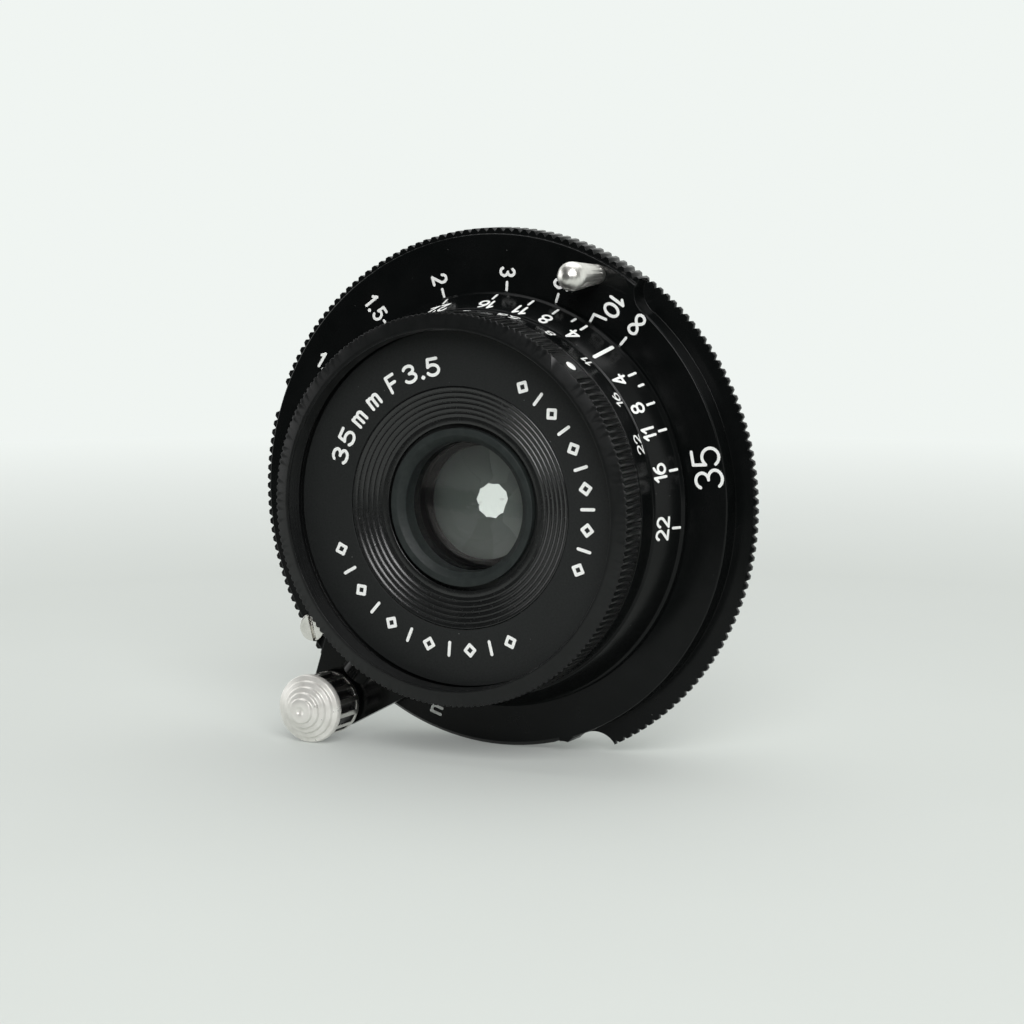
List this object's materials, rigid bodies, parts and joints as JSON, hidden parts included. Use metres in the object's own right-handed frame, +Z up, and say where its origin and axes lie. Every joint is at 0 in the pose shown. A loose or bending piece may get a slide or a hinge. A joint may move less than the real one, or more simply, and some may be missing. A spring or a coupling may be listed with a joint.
{
  "type": "rangefinder camera lens",
  "caption": "Flat black interchangeable camera lens with a knurled mounting flange, a depth-of-field ring, a lever-and-knob focusing arm and an iris set by a knurled front ring.",
  "frame": {"origin": "centre of the bayonet's seat face, on the optical axis", "axes": "-Y along the optical axis towards the subject, +Z up with the lens standing as it rests on its rim and knob, +X to the right seen from the front"},
  "size_m": [0.052, 0.0215, 0.0501],
  "materials": {
    "gloss_black": "gloss",
    "matte_black": "matte",
    "satin_black": "satin",
    "black_oxide": "satin",
    "chrome": "polished",
    "nickel": "polished",
    "steel": "satin",
    "blade_steel": "blued",
    "brass": "satin",
    "white_filling": "satin",
    "red_enamel": "gloss",
    "coated_glass": "coated"
  },
  "bodies": {
    "mount": {"mount_flange": "gloss_black", "bayonet_ring": "chrome", "bayonet_screws": "steel", "helicoid_sleeve": "brass", "index_post": "nickel", "stop_screw": "nickel", "mount_index": "red_enamel"},
    "focus_barrel": {"dof_ring": "gloss_black", "focus_carrier": "brass", "carrier_ring": "matte_black", "lever_arm": "gloss_black", "lever_screws": "steel", "knob_guide": "matte_black"},
    "lock_button": {"knob_barrel": "nickel", "knob_cap": "nickel", "lock_stem": "steel"},
    "optical_head": {"head_sleeve": "matte_black", "front_neck": "matte_black", "name_ring": "matte_black", "stepped_cone": "matte_black", "retaining_ring": "black_oxide", "front_cell": "matte_black", "front_element": "coated_glass", "middle_element": "coated_glass", "iris_housing": "matte_black", "rear_cell": "matte_black", "rear_cell_nut": "matte_black", "rear_element": "coated_glass", "rear_retaining_ring": "black_oxide", "rear_baffle": "matte_black", "rangefinder_cam": "chrome"},
    "aperture_group": {"aperture_ring": "satin_black", "aperture_index": "white_filling", "aperture_key": "steel", "drive_ring": "matte_black"},
    "iris_blade_1": {"blade_1": "blade_steel"},
    "iris_blade_2": {"blade_2": "blade_steel"},
    "iris_blade_3": {"blade_3": "blade_steel"},
    "iris_blade_4": {"blade_4": "blade_steel"},
    "iris_blade_5": {"blade_5": "blade_steel"},
    "iris_blade_6": {"blade_6": "blade_steel"},
    "iris_blade_7": {"blade_7": "blade_steel"},
    "iris_blade_8": {"blade_8": "blade_steel"},
    "iris_blade_9": {"blade_9": "blade_steel"},
    "iris_blade_10": {"blade_10": "blade_steel"}
  },
  "joints": [
    {"name": "focus_turn", "type": "hinge", "parent": "mount", "child": "focus_barrel", "pos_m": [0, 0, 0], "axis": [0, -1, 0], "range_deg": [0, 176]},
    {"name": "head_advance", "type": "slide", "parent": "focus_barrel", "child": "optical_head", "axis": [0, -1, 0], "range_m": [0, 0.00197]},
    {"name": "lock_press", "type": "slide", "parent": "focus_barrel", "child": "lock_button", "axis": [0, 1, 0], "range_m": [0, 0.0005], "stiffness_N_per_m": 1500, "springref_m": -0.0005},
    {"name": "aperture_turn", "type": "hinge", "parent": "optical_head", "child": "aperture_group", "pos_m": [0, -0.012, 0], "axis": [0, -1, 0], "range_deg": [-28.8, 48.6]},
    {"name": "blade_1_turn", "type": "hinge", "parent": "optical_head", "child": "iris_blade_1", "pos_m": [0.0079, -0.0036, 0], "axis": [0, -1, 0], "range_deg": [-48.7, 28.9]},
    {"name": "blade_2_turn", "type": "hinge", "parent": "optical_head", "child": "iris_blade_2", "pos_m": [0.00639, -0.00367, 0.00464], "axis": [0, -1, 0], "range_deg": [-48.7, 28.9]},
    {"name": "blade_3_turn", "type": "hinge", "parent": "optical_head", "child": "iris_blade_3", "pos_m": [0.00244, -0.00374, 0.00751], "axis": [0, -1, 0], "range_deg": [-48.7, 28.9]},
    {"name": "blade_4_turn", "type": "hinge", "parent": "optical_head", "child": "iris_blade_4", "pos_m": [-0.00244, -0.00381, 0.00751], "axis": [0, -1, 0], "range_deg": [-48.7, 28.9]},
    {"name": "blade_5_turn", "type": "hinge", "parent": "optical_head", "child": "iris_blade_5", "pos_m": [-0.00639, -0.00388, 0.00464], "axis": [0, -1, 0], "range_deg": [-48.7, 28.9]},
    {"name": "blade_6_turn", "type": "hinge", "parent": "optical_head", "child": "iris_blade_6", "pos_m": [-0.0079, -0.00395, 0], "axis": [0, -1, 0], "range_deg": [-48.7, 28.9]},
    {"name": "blade_7_turn", "type": "hinge", "parent": "optical_head", "child": "iris_blade_7", "pos_m": [-0.00639, -0.00402, -0.00464], "axis": [0, -1, 0], "range_deg": [-48.7, 28.9]},
    {"name": "blade_8_turn", "type": "hinge", "parent": "optical_head", "child": "iris_blade_8", "pos_m": [-0.00244, -0.00409, -0.00751], "axis": [0, -1, 0], "range_deg": [-48.7, 28.9]},
    {"name": "blade_9_turn", "type": "hinge", "parent": "optical_head", "child": "iris_blade_9", "pos_m": [0.00244, -0.00416, -0.00751], "axis": [0, -1, 0], "range_deg": [-48.7, 28.9]},
    {"name": "blade_10_turn", "type": "hinge", "parent": "optical_head", "child": "iris_blade_10", "pos_m": [0.00639, -0.00423, -0.00464], "axis": [0, -1, 0], "range_deg": [-48.7, 28.9]}
  ],
  "couplings": [
    {"joint": "head_advance", "follows": "focus_turn", "m_per_rad": 0.0006406},
    {"joint": "blade_1_turn", "follows": "aperture_turn", "ratio": -1},
    {"joint": "blade_2_turn", "follows": "aperture_turn", "ratio": -1},
    {"joint": "blade_3_turn", "follows": "aperture_turn", "ratio": -1},
    {"joint": "blade_4_turn", "follows": "aperture_turn", "ratio": -1},
    {"joint": "blade_5_turn", "follows": "aperture_turn", "ratio": -1},
    {"joint": "blade_6_turn", "follows": "aperture_turn", "ratio": -1},
    {"joint": "blade_7_turn", "follows": "aperture_turn", "ratio": -1},
    {"joint": "blade_8_turn", "follows": "aperture_turn", "ratio": -1},
    {"joint": "blade_9_turn", "follows": "aperture_turn", "ratio": -1},
    {"joint": "blade_10_turn", "follows": "aperture_turn", "ratio": -1}
  ]
}
